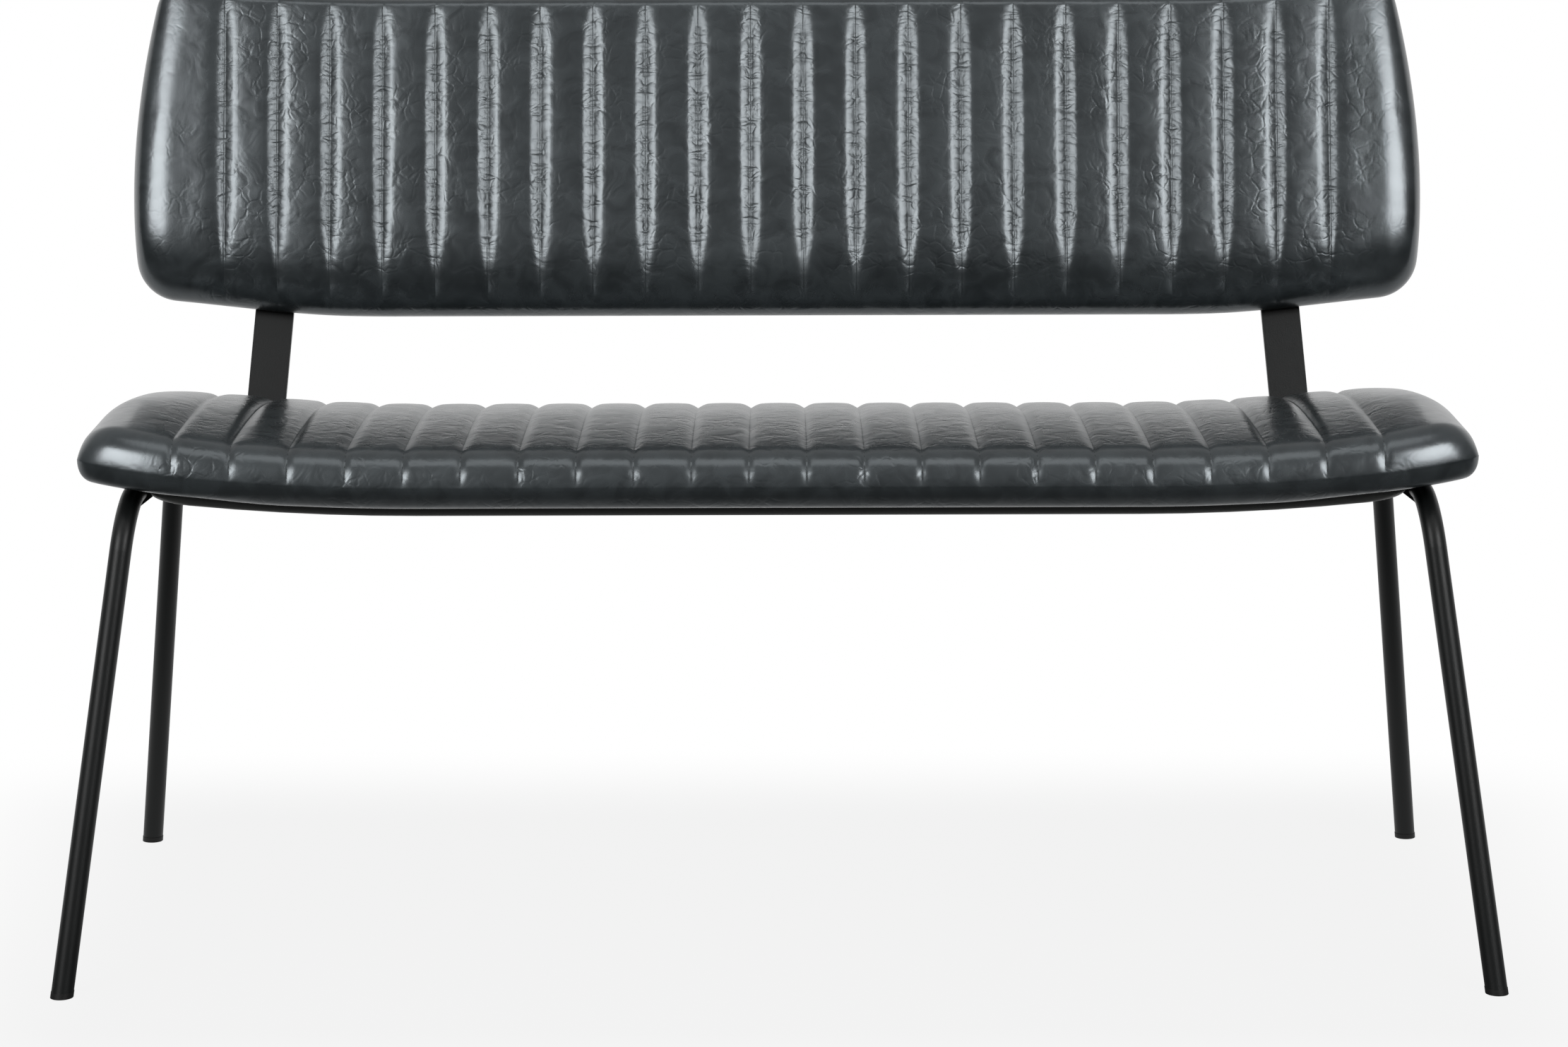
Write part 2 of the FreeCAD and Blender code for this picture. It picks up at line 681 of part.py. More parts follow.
def back_cover(staples):
    skin = back_pad(0).cut(back_pad(COVER_THICKNESS))
    opening = back_slab(FAR, BACK_BOARD_FRONT, FLANGE_WIDTH)
    return one_solid(skin.cut(opening).cut(staples))


def back_rear_panel():
    front = -COVER_THICKNESS - LAYER_EASE - REAR_PANEL_THICKNESS
    inset = REAR_PANEL_INSET + COVER_THICKNESS + LAYER_EASE
    panel = back_slab(-COVER_THICKNESS - LAYER_EASE, front, inset)
    return one_solid(panel.cut(group(bolt_hole(RISER_REACH), upright_riser_frames())))


def back_rear_cover():
    skin = back_slab(0, -REAR_STACK, REAR_PANEL_INSET)
    room = back_slab(-COVER_THICKNESS, -2 * REAR_STACK, REAR_PANEL_INSET + COVER_THICKNESS)
    return one_solid(skin.cut(room).cut(group(bolt_hole(RISER_REACH), upright_riser_frames())))


# Back brackets

def back_bracket(side):
    """Flat bar bent from a foot under the base panel to a riser behind the back."""
    corner_y, corner_z = riser_point(0, BRACKET_EASE)
    _, lean, _ = riser_line()
    inner_y = corner_y - corner_z * math.tan(lean)
    outer_y = inner_y + BAR_THICKNESS * math.tan((math.pi / 2 - lean) / 2)
    top = riser_distance(BRACKET_RISER_REACH)
    corners = [
        (foot_tip(), 0, 0),
        (inner_y, 0, BAR_BEND_RADIUS),
        (*riser_point(top, BRACKET_EASE), 0),
        (*riser_point(top, BRACKET_EASE + BAR_THICKNESS), 0),
        (outer_y, -BAR_THICKNESS, BAR_BEND_RADIUS + BAR_THICKNESS),
        (foot_tip(), -BAR_THICKNESS, 0),
    ]
    strip = Part.Face(rounded_wire(corners, on_yz(-BAR_WIDTH / 2))).extrude(Vector(BAR_WIDTH, 0, 0))
    bar = placed(strip, bracket_frame(side))
    bar = bar.cut(group(bolt_hole(2 * BAR_THICKNESS), foot_bolt_frames()))
    return one_solid(bar.cut(group(bolt_hole(2 * BAR_THICKNESS), riser_bolt_frames())))


# Assembly

def build_nodes():
    seat_staples = group(staple(), seat_staple_frames())
    back_staples = group(staple(), back_staple_frames())
    raked = {
        "back_board": back_board(back_staples),
        "back_foam": back_foam(),
        "back_quilt_layer": back_quilt(),
        "back_cover": back_cover(back_staples),
        "back_rear_panel": back_rear_panel(),
        "back_rear_cover": back_rear_cover(),
        "back_cover_staples": back_staples,
    }
    nodes = {
        "seat_base_panel": seat_base_panel(),
        "seat_core_board": seat_core_board(seat_staples),
        "seat_foam": seat_foam(),
        "seat_quilt_layer": seat_quilt(),
        "seat_cover": seat_cover(seat_staples),
        "seat_cover_staples": seat_staples,
        "base_panel_screws": group(screw(), screw_frames()),
        "leg_bolts": group(bolt(LEG_REACH), leg_bolt_frames()),
        "leg_bolt_washers": group(washer(), leg_bolt_frames()),
        "leg_tee_nuts": group(tee_nut(LEG_REACH), leg_bolt_frames()),
        "bracket_foot_bolts": group(bolt(FOOT_REACH), foot_bolt_frames()),
        "bracket_foot_washers": group(washer(), foot_bolt_frames()),
        "bracket_foot_tee_nuts": group(tee_nut(FOOT_REACH), foot_bolt_frames()),
        "back_bolts": group(bolt(RISER_REACH), riser_bolt_frames()),
        "back_bolt_washers": group(washer(), riser_bolt_frames()),
        "back_tee_nuts": group(tee_nut(RISER_REACH), riser_bolt_frames()),
        "mount_plate_welds": Part.makeCompound(plate_welds()),
    }
    for name, shape in raked.items():
        nodes[name] = placed(shape, BACK_FRAME)
    for name, side in SIDES.items():
        nodes[f"{name}_leg_frame"] = leg_frame(side)
        nodes[f"{name}_front_glide"], nodes[f"{name}_rear_glide"] = glides(side)
        nodes[f"{name}_front_mount_plate"] = mount_plate(side, -1)
        nodes[f"{name}_rear_mount_plate"] = mount_plate(side, 1)
        nodes[f"{name}_back_bracket"] = back_bracket(side)
    return nodes


def centre_in_depth(nodes):
    """Slide everything along Y until the origin lies in the middle of the overall depth."""
    front = nodes["left_front_glide"].optimalBoundingBox().YMin
    rear = max(nodes[name].optimalBoundingBox().YMax for name in ("back_cover", "back_rear_cover"))
    slide = Placement(Vector(0, -(front + rear) / 2, 0), Rotation())
    return {name: placed(shape, slide) for name, shape in nodes.items()}


os.makedirs("parts", exist_ok=True)
for node_name, node_shape in centre_in_depth(build_nodes()).items():
    node_shape.exportStep(f"parts/{node_name}.step")
    box = node_shape.optimalBoundingBox()
    low = f"{box.XMin:.1f} {box.YMin:.1f} {box.ZMin:.1f}"
    high = f"{box.XMax:.1f} {box.YMax:.1f} {box.ZMax:.1f}"
    print(f"{node_name}: {len(node_shape.Solids)} solids, {node_shape.Volume:.0f} mm3, {low} to {high}")
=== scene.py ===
# %% [markdown]
# # Upholstered dining bench
# A long seat pad and a raked back pad, both in charcoal faux leather sewn into channels, stand on two
# bent-tube leg frames. The CAD model is the fixed frame of this lesson: hard pieces keep their CAD shape
# and get a finish. The soft pads, which CAD can only show as smooth solids, are made again as cushions.

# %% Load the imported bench
import json
import math
import bmesh
import bpy
from mathutils import Matrix, Vector


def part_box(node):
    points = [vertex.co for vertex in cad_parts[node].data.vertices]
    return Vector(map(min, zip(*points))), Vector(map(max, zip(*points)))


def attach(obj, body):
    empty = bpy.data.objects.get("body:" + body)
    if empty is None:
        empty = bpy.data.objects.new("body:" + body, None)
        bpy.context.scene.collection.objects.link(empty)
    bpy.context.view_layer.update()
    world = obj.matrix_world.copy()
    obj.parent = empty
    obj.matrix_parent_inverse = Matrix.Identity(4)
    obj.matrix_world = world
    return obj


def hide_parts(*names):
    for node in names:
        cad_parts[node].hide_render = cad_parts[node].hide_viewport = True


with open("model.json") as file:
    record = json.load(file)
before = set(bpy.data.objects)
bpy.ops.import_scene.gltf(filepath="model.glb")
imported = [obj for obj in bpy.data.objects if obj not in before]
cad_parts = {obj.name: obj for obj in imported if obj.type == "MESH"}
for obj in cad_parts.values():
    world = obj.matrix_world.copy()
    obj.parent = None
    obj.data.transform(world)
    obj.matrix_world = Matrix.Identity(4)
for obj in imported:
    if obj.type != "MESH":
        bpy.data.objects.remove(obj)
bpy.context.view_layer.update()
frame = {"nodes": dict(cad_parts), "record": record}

nodes = frame["nodes"]

# %% [markdown]
# ## Camera
# The photograph looks straight at the front from a little above, with a long lens. The lens and place come
# from the sizes of seat, back and feet in the picture. Euler angles could aim the camera too, but a product
# of matrices reads in order: look down, then roll a little about the camera's own view axis.

# %% Camera at the photograph's angle
LENS = 92.76
LENS_SHIFT = 0.0038
CAMERA_PLACE = (0, -3.5901, 1.0299)
LOOK_DOWN = 10.6
CAMERA_ROLL = -0.16

camera = bpy.data.objects.new("camera", bpy.data.cameras.new("camera"))
bpy.context.scene.collection.objects.link(camera)
camera.data.lens = LENS
camera.data.shift_x = LENS_SHIFT
look_down = Matrix.Rotation(math.radians(90 - LOOK_DOWN), 4, "X")
roll = Matrix.Rotation(math.radians(CAMERA_ROLL), 4, "Z")
camera.matrix_world = Matrix.Translation(CAMERA_PLACE) @ look_down @ roll
bpy.context.scene.camera = camera
print("camera at", [round(x, 3) for x in camera.location])

# %% [markdown]
# ## Writing shaders as sums
# A finish is a tree of nodes, and linking each node by hand is hard to read in code. Two small classes
# help: Wire wraps one socket, so that `1 - mask * 0.3` adds the Math nodes by itself, and Finish holds a
# material and adds every other node with one method.

# %% Sockets that can be added and multiplied
class Wire:
    """One output socket; arithmetic on it adds Math nodes."""

    def __init__(self, tree, socket):
        self.tree = tree
        self.socket = socket

    def math(self, operation, left, right):
        node = self.tree.nodes.new("ShaderNodeMath")
        node.operation = operation
        for entry, value in zip(node.inputs, (left, right)):
            if isinstance(value, Wire):
                self.tree.links.new(value.socket, entry)
            else:
                entry.default_value = value
        return Wire(self.tree, node.outputs[0])

    def __add__(self, other):
        return self.math("ADD", self, other)

    def __sub__(self, other):
        return self.math("SUBTRACT", self, other)

    def __rsub__(self, other):
        return self.math("SUBTRACT", other, self)

    def __mul__(self, other):
        return self.math("MULTIPLY", self, other)

    def __pow__(self, other):
        return self.math("POWER", self, other)

    __radd__ = __add__
    __rmul__ = __mul__


print("wires ready")

# %% Finishes under construction
class Finish:
    """The node tree of a material, or of the world, under construction."""

    def __init__(self, name, world=None):
        self.material = world or bpy.data.materials.new(name)
        self.material.use_nodes = True
        self.tree = self.material.node_tree
        self.tree.nodes.clear()

    def node(self, kind, settings=None, inputs=None, output=0):
        made = self.tree.nodes.new("ShaderNode" + kind)
        for name, value in (settings or {}).items():
            setattr(made, name, value)
        for name, value in (inputs or {}).items():
            entry = made.inputs[name]
            if isinstance(value, Wire):
                self.tree.links.new(value.socket, entry)
            else:
                entry.default_value = value
        return Wire(self.tree, made.outputs[output]) if made.outputs else None

    def coordinates(self, stretch=(1, 1, 1)):
        place = self.node("TexCoord", output="Object")
        return self.node("Mapping", {}, {"Vector": place, "Scale": stretch})

    def noise(self, scale, detail=2.0, rough=0.5, stretch=(1, 1, 1), distortion=0.0):
        inputs = {"Vector": self.coordinates(stretch), "Scale": scale, "Detail": detail, "Roughness": rough,
                  "Distortion": distortion}
        return self.node("TexNoise", {}, inputs)

    def mix(self, factor, first, second):
        """Colour between two colours, which are tuples or colour wires."""
        inputs = {"Factor": factor, 6: first, 7: second}
        return self.node("Mix", {"data_type": "RGBA"}, inputs, output=2)

    def step(self, value, start, stop, low=0.0, high=1.0):
        """Smooth step from low to high while value goes from start to stop."""
        inputs = {0: value, 1: start, 2: stop, 3: low, 4: high}
        return self.node("MapRange", {"interpolation_type": "SMOOTHSTEP"}, inputs)

    def size_of(self, value):
        """The value without its sign."""
        return self.node("Math", {"operation": "ABSOLUTE"}, {0: value})

    def part_of(self, vector, axis):
        """One number of a vector: axis 0, 1 or 2."""
        return self.node("SeparateXYZ", {}, {0: vector}, output=axis)

    def seen(self, mirrored):
        """1 for what the camera sees, and mirrored for what shiny and clear things show of it."""
        rays = ("Is Camera Ray", "Is Glossy Ray", "Is Transmission Ray")
        direct, shiny, clear = (self.node("LightPath", output=ray) for ray in rays)
        total = direct + (shiny + clear) * mirrored
        return self.node("Math", {"operation": "MINIMUM"}, {0: total, 1: 1.0})

    def bump(self, height, distance, strength=1.0):
        return self.node("Bump", {}, {"Height": height, "Distance": distance, "Strength": strength})

    def surface(self, **inputs):
        named = {key.replace("_", " "): value for key, value in inputs.items()}
        shader = self.node("BsdfPrincipled", {}, named)
        self.node("OutputMaterial", {}, {"Surface": shader})
        return self.material


print("finishes ready")

# %% [markdown]
# ## Charcoal faux leather
# The cover is coated cloth: nearly black, with a soft sheen, a fine pebble grain and faint creases. It
# puckers beside the stitches and is smooth on the plain end panels. A picture of leather would tile, and its
# light would be baked in, so everything is grown from patterns instead: Voronoi cells for grain and creases,
# stretched noise for the puckers, and slow noise for the mottling. The two attributes that it reads, stitch
# and plain, are written into the pads when they are made.

# %% Folds in the leather
CREASE_SCALE = 80.0
CREASE_WANDER = 0.012
CREASE_WIDTH = 0.16
WANDER_SCALE = 60.0
CREASED_PLACES_SCALE = 21.0
PUCKER_SCALE = 85.0
PUCKER_STRETCH = (0.35, 1, 1)
PUCKER_SHARPNESS = 4.0


def crease_lines(finish):
    """Folds along the borders of wandering cells, in some places only."""
    drift_inputs = {"Vector": finish.coordinates(), "Scale": WANDER_SCALE, "Detail": 2.0}
    drift = finish.node("TexNoise", {}, drift_inputs, output=1)
    wander_inputs = {0: drift, 1: (CREASE_WANDER, CREASE_WANDER, CREASE_WANDER), 2: finish.coordinates()}
    wander = finish.node("VectorMath", {"operation": "MULTIPLY_ADD"}, wander_inputs)
    cell_inputs = {"Vector": wander, "Scale": CREASE_SCALE}
    border = finish.node("TexVoronoi", {"feature": "DISTANCE_TO_EDGE"}, cell_inputs)
    places = finish.step(finish.noise(CREASED_PLACES_SCALE), 0.42, 0.62)
    return finish.step(border, CREASE_WIDTH, 0.0) * places


def pucker_lines(finish):
    """Short folds across the seams: thin lines where a stretched noise crosses its middle value."""
    field = finish.noise(PUCKER_SCALE, stretch=PUCKER_STRETCH, distortion=0.5)
    return (1 - finish.size_of(field * 2 - 1)) ** PUCKER_SHARPNESS


print("folds ready")

# %% Leather
LEATHER_DARK = (0.0058, 0.0074, 0.0081, 1)
LEATHER_PALE = (0.0146, 0.0178, 0.0192, 1)
LEATHER_TINT = (0.88, 0.955, 1.0, 1)
LEATHER_SHEEN = 0.8
LEATHER_ROUGH = 0.185
MOTTLE_SCALE = 9.0
CLOUD_SCALE = 46.0
GRAIN_SCALE = 780.0
MILLIMETRE = 0.001
# Heights and depths of the relief, in millimetres
CLOUD_HEIGHT = 0.62
CREASE_DEPTH = 0.09
PUCKER_DEPTH = 0.46
GRAIN_HEIGHT = 0.012
TAUT_CALM = 0.65


def charcoal_leather():
    finish = Finish("charcoal_leather")
    mottle = finish.noise(MOTTLE_SCALE, detail=4.0, rough=0.6)
    cloud = finish.noise(CLOUD_SCALE, distortion=0.8)
    grain_inputs = {
        "Vector": finish.coordinates(),
        "Scale": GRAIN_SCALE,
        "Smoothness": 0.4,
        "Randomness": 1.0,
    }
    grain = finish.node("TexVoronoi", {"feature": "SMOOTH_F1"}, grain_inputs)
    beside = finish.node("Attribute", {"attribute_name": "stitch"}, output="Fac")
    taut = finish.node("Attribute", {"attribute_name": "plain"}, output="Fac")
    patches = finish.step(mottle * 0.4 + cloud * 0.6, 0.34, 0.66)
    folds = (cloud * CLOUD_HEIGHT - crease_lines(finish) * CREASE_DEPTH) * (1 - taut * TAUT_CALM)
    height = folds - pucker_lines(finish) * beside * PUCKER_DEPTH + grain * GRAIN_HEIGHT
    return finish.surface(
        Base_Color=finish.mix(patches, LEATHER_DARK, LEATHER_PALE),
        Roughness=LEATHER_ROUGH + cloud * 0.09 + mottle * 0.08 + beside * 0.10 - taut * 0.03,
        Specular_IOR_Level=LEATHER_SHEEN,
        Specular_Tint=LEATHER_TINT,
        Normal=finish.bump(height, MILLIMETRE),
    )


leather = charcoal_leather()
print("made", leather.name)

# %% [markdown]
# ## Powder coat, board film, plastic, steel and boards
# The frames carry a matte black powder coat with a fine orange-peel skin, and the base panel is a board
# with a black film. Each could be a plain dark colour, but then no light would catch on it, so one recipe
# gives them all a fine skin and slow wear, with their own colour and gloss. Plywood has its grain stretched
# along the bench. The inner boards and fasteners hardly ever show, but they get a finish too.

# %% Recipes of the hard finishes
PEEL_SCALE = 900.0
PEEL_HEIGHT = 0.0002
WEAR_SCALE = 16.0
COLOUR_SPREAD = 0.2
GLOSS_SPREAD = 0.06
COAT_SHEEN = 0.22
WOOD_SCALE = 7.0
WOOD_STRETCH = (1, 9, 9)
WOOD_RELIEF = 0.0003


def powder_coat(name, colour, roughness, metallic=0.0):
    finish = Finish(name)
    peel = finish.noise(PEEL_SCALE)
    wear = finish.noise(WEAR_SCALE, detail=4.0, rough=0.6)
    dark = (*((1 - COLOUR_SPREAD) * c for c in colour), 1)
    light = (*((1 + COLOUR_SPREAD) * c for c in colour), 1)
    return finish.surface(
        Base_Color=finish.mix(wear, dark, light),
        Roughness=roughness - GLOSS_SPREAD + wear * (2 * GLOSS_SPREAD),
        Metallic=metallic,
        Specular_IOR_Level=COAT_SHEEN,
        Normal=finish.bump(peel, PEEL_HEIGHT, 0.35),
    )


def plywood(name, pale, dark):
    finish = Finish(name)
    grain = finish.noise(WOOD_SCALE, detail=5.0, rough=0.6, stretch=WOOD_STRETCH, distortion=0.8)
    return finish.surface(
        Base_Color=finish.mix(grain, pale, dark),
        Roughness=0.55 + grain * 0.15,
        Normal=finish.bump(grain, WOOD_RELIEF, 0.4),
    )


print("recipes ready")

# %% Finishes of the CAD pieces
finishes = {
    "frame_black": powder_coat("frame_powder_coat", (0.0030, 0.0036, 0.0036), 0.40),
    "black_panel": powder_coat("black_board_film", (0.052, 0.054, 0.052), 0.42),
    "glide_plastic": powder_coat("glide_plastic", (0.004, 0.004, 0.004), 0.5),
    "bolt_black": powder_coat("black_oxide_steel", (0.05, 0.05, 0.052), 0.36, 0.8),
    "zinc_steel": powder_coat("bright_zinc", (0.55, 0.56, 0.55), 0.32, 0.9),
    "foam": powder_coat("pale_foam", (0.62, 0.6, 0.54), 0.9),
    "quilt": powder_coat("white_wadding", (0.72, 0.72, 0.7), 0.95),
    "plywood": plywood("plywood_face", (0.52, 0.36, 0.2, 1), (0.36, 0.23, 0.12, 1)),
    "cover_leather": leather,
    "thread": powder_coat("bonded_thread", (0.014, 0.016, 0.017), 0.5),
}
for entry in frame["record"]["subparts"]:
    node = nodes[entry["node"]]
    node.data.materials.clear()
    node.data.materials.append(finishes[entry["material_slot"]])
print("finished", len(nodes), "CAD nodes")

# %% [markdown]
# ## Sewn channels
# Seat and back are sewn the same way: lines of stitching a little under 50 mm apart leave plump channels
# between them, and a wider plain panel stays at each end. A displacement map could draw the seams, but a
# visible groove should be in the mesh. So the columns of the mesh follow the sewing: one lies on every
# seam, four on each side of it shape the groove, and one runs along the middle of the channel.

# %% Channel plan
CHANNEL = 0.0494
HALF_CHANNEL = CHANNEL / 2
SEAM_COUNT = 22
MIDDLE_SEAM = (SEAM_COUNT - 1) / 2
SEAMS = [(k - MIDDLE_SEAM) * CHANNEL for k in range(SEAM_COUNT)]
BESIDE_SEAM = (0.0014, 0.0050, 0.0084, 0.0112)
ACROSS = (0.0, *BESIDE_SEAM, HALF_CHANNEL, *(CHANNEL - step for step in reversed(BESIDE_SEAM)))
BESIDE_LAST_SEAM = (0.0022, 0.0046)
END_STEPS = 17


def pad_stations(end_reach):
    """Columns of a pad along the bench, with plain panels that reach past the outermost seams."""
    channels = [seam + step for seam in SEAMS[:-1] for step in ACROSS]
    spaced = [end_reach * math.sin(math.pi / 2 * k / END_STEPS) for k in range(1, END_STEPS + 1)]
    outer = sorted(SEAMS[-1] + place for place in (*BESIDE_LAST_SEAM, *spaced))
    return [*(-x for x in reversed(outer)), *channels, SEAMS[-1], *outer]


def from_seam(x):
    """Distance to the nearest seam."""
    k = min(max(round(x / CHANNEL + MIDDLE_SEAM), 0), SEAM_COUNT - 1)
    return abs(x - SEAMS[k])


print("seams:", len(SEAMS), "outermost at", round(SEAMS[-1], 4))

# %% [markdown]
# ## Curves that shape the pads
# Upholstery has few straight lines and few sharp ones. Bevels could round a plain box, but not a pad that
# changes along its length. So all rounds, fades and grooves are made from five short formulas, and one value
# each says how wide or how deep a round is.

# %% Rounds, fades and grooves
GROOVE_POWER = 1.25


def quarter(share):
    """Height of a quarter circle: 0 at its foot, 1 from share 1 on."""
    left = 1 - min(max(share, 0), 1)
    return math.sqrt(max(0, 1 - left * left))


def ease(share):
    """Smooth way from 0 to 1."""
    share = min(max(share, 0), 1)
    return share * share * (3 - 2 * share)


def mixed(first, second, share):
    """Value on the way from the first to the second."""
    return first + (second - first) * share


def towards_end(x, start, reach):
    """0 in the middle of the bench, rising to 1 over a reach that begins at start."""
    return ease((abs(x) - start) / reach)


def groove(distance, half):
    """Depth share of a sewn groove: straight flanks with a soft shoulder."""
    return max(0, 1 - distance / half) ** GROOVE_POWER


print("curves ready")

# %% [markdown]
# ## Rolling a grid into a pad
# A cushion could start from a beveled box, but then no edge would lie along a seam. Here a flat grid is
# rolled up instead: its columns become stations along the bench, its rows go from the front nose over the
# face to the rear nose and back underneath, and merging the doubles closes the pad. Nearly every face stays
# a quad, which the cloth solver likes, and each point keeps the numbers of its station and row, by which
# seams can be pinned.

# %% Rolled pad
PUCKER_REACH = 0.011
PUCKER_FROM_ROW = 9
PUCKER_ROWS_LEFT = 4
PUCKER_FADE_ROWS = 5
PLAIN_START = 0.005
PLAIN_FADE = 0.035
# Points closer than this count as one
SAME_PLACE = 1e-6


def piece_from(bm, name):
    """New object from a finished bmesh."""
    mesh = bpy.data.meshes.new(name)
    bm.to_mesh(mesh)
    bm.free()
    piece = bpy.data.objects.new(name, mesh)
    bpy.context.scene.collection.objects.link(piece)
    return piece


def rolled_pad(name, stations, rows, place, pull):
    """Closed pad from a grid: place(station, row, under) gives each corner, pull how hard seams pucker."""
    bm = bmesh.new()
    wide, deep = len(stations) - 1, 2 * (len(rows) - 1)
    bmesh.ops.create_grid(bm, x_segments=wide, y_segments=deep, size=0.5)
    station_layer = bm.verts.layers.int.new("station")
    row_layer = bm.verts.layers.int.new("row")
    stitch_layer = bm.verts.layers.float.new("stitch")
    plain_layer = bm.verts.layers.float.new("plain")
    for vert in bm.verts:
        column = round((vert.co.x + 0.5) * wide)
        row = round((vert.co.y + 0.5) * deep)
        under = row > len(rows) - 1
        row = deep - row if under else row
        vert[station_layer] = column
        vert[row_layer] = -row if under else row
        vert.co = place(stations[column], rows[row], under)
        rows_inside = min(row - PUCKER_FROM_ROW, len(rows) - PUCKER_ROWS_LEFT - row)
        inside = 0 if under else ease(rows_inside / PUCKER_FADE_ROWS)
        vert[stitch_layer] = pull * inside * max(0, 1 - from_seam(stations[column]) / PUCKER_REACH)
        vert[plain_layer] = towards_end(vert.co.x, SEAMS[-1] + PLAIN_START, PLAIN_FADE)
    bmesh.ops.remove_doubles(bm, verts=bm.verts, dist=SAME_PLACE)
    bmesh.ops.recalc_face_normals(bm, faces=bm.faces)
    return piece_from(bm, name)


print("rolling helper ready")

# %% [markdown]
# ## Seat pad
# The seat lies flat in the middle and turns up towards both ends. Its corners are cut round, its front nose
# is full, and under the nose the cover hangs in a small lip that hides most of the base panel. A box with
# bevels could give such an outline, but not a nose that leans and a shoulder that rolls. So each station
# gets two height curves, top and underside, that meet in the nose lines, and the nose is drawn as a chain of
# short turns, as a bent wire would be.

# %% Seat sizes
seat_low, seat_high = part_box("seat_cover")
SEAT_END = seat_high.x
SEAT_FRONT, SEAT_REAR = seat_low.y, seat_high.y
SEAT_DEPTH = SEAT_REAR - SEAT_FRONT
SEAT_BASE = seat_low.z
SEAT_NOSE = SEAT_BASE + 0.0175
SEAT_TOP = SEAT_BASE + 0.0520
SEAT_BEND_START = 0.312
SEAT_BEND_RADIUS = 1.94
FRONT_FALL = 0.0049
REAR_FALL, REAR_FALL_POWER = 0.018, 1.95


def seat_rise(x):
    """How far the bent seat has turned up at a place along the bench."""
    return max(0, abs(x) - SEAT_BEND_START) ** 2 / (2 * SEAT_BEND_RADIUS)


def seat_crown(y):
    """Height of the flat seat's face: highest along its middle."""
    middle = (SEAT_FRONT + SEAT_REAR) / 2
    share = (y - middle) / (SEAT_REAR - middle)
    fall = FRONT_FALL * share * share if share < 0 else REAR_FALL * share ** REAR_FALL_POWER
    return SEAT_TOP - fall


print("seat:", round(2 * SEAT_END, 3), "m long,", round(SEAT_DEPTH, 3), "m deep")

# %% Nose of the seat
# Each turn says how many degrees the nose leans back, and over what length
FACE_TURNS = [(4, 0.0012), (9, 0.0013), (12.5, 0.0035), (15, 0.0035), (17.5, 0.0035), (20, 0.003)]
SHOULDER_TURNS = [(25 + 8.7 * k, 0.0039) for k in range(8)]


def edge_profile(turns):
    """Points of a profile that starts at (0, 0): each turn leans back by degrees over a length."""
    points = [(0.0, 0.0)]
    for lean, length in turns:
        back, up = points[-1]
        angle = math.radians(lean)
        points.append((back + length * math.sin(angle), up + length * math.cos(angle)))
    return points


NOSE_PROFILE = edge_profile(FACE_TURNS + SHOULDER_TURNS)
NOSE_DEPTH, NOSE_RISE = NOSE_PROFILE[-1]


def seat_nose(offset):
    """Share of the pad's height behind its front edge: a leaning face, then a round shoulder."""
    for (back, up), (next_back, next_up) in zip(NOSE_PROFILE, NOSE_PROFILE[1:]):
        if offset < next_back:
            return (up + (next_up - up) * (offset - back) / (next_back - back)) / NOSE_RISE
    return 1.0


print("nose:", round(NOSE_DEPTH, 4), "m deep")

# %% Outline and underside of the seat
FRONT_CORNER_CUT, FRONT_CORNER_REACH = 0.030, 0.100
REAR_CORNER = 0.140
CUT_BLEND_FRONT, CUT_BLEND_REAR = 0.05, 0.08
# Rounds of the underside; the pairs say where along the bench a change starts and over what reach
FRONT_CURL, FRONT_CURL_AT_END = 0.024, 0.010
CURL_CHANGE = (0.40, 0.12)
REAR_CURL = 0.014
END_CURL = 0.012
SEAT_LIP, LIP_DEPTH = 0.0036, 0.028
LIP_FADE = (0.42, 0.09)


def seat_outline(x, offset):
    """Place from front to rear: the cut corners pull the ends of each row in."""
    end = SEAT_END - abs(x)
    front_cut = FRONT_CORNER_CUT * (1 - quarter(end / FRONT_CORNER_REACH))
    rear_cut = REAR_CORNER * (1 - quarter(end / REAR_CORNER))
    share = ease((offset - CUT_BLEND_FRONT) / (SEAT_DEPTH - CUT_BLEND_FRONT - CUT_BLEND_REAR))
    return SEAT_FRONT + offset + front_cut * (1 - share) - rear_cut * share


def seat_underside(x, offset):
    """Height of the underside: it curls up to the nose lines, and its front hangs in a lip."""
    end = SEAT_END - abs(x)
    curl = mixed(FRONT_CURL, FRONT_CURL_AT_END, towards_end(x, *CURL_CHANGE))
    rear = SEAT_DEPTH - offset
    closing = min(quarter(offset / curl), quarter(rear / REAR_CURL), quarter(end / END_CURL))
    lip = SEAT_LIP * math.sin(math.pi * min(offset / LIP_DEPTH, 1)) ** 2 * (1 - towards_end(x, *LIP_FADE))
    return SEAT_NOSE + seat_rise(x) - (SEAT_NOSE - SEAT_BASE) * closing - lip


print("lip under the nose:", SEAT_LIP, "m")

# %% Sewn face of the seat
REAR_ROLL = 0.026
END_ROLL = 0.040
END_PLUMP = 0.0025
END_PLUMP_FROM = (0.46, 0.10)
SEAT_PUFF, PUFF_AT_FRONT = 0.0022, 0.3
SEAM_SINK, SINK_AT_FRONT = 0.0030, 0.6
GROOVE_AT_FRONT, GROOVE_AT_REAR = 0.0044, 0.0078
SEWN_RISE = 0.026
# Close behind the front line the seams fade to nothing, so that top and underside meet there
SEWN_START, SEWN_SLOPE = 0.004, 10
SHOULDER_DEPTH = 0.030
FACE_TILT = 0.35


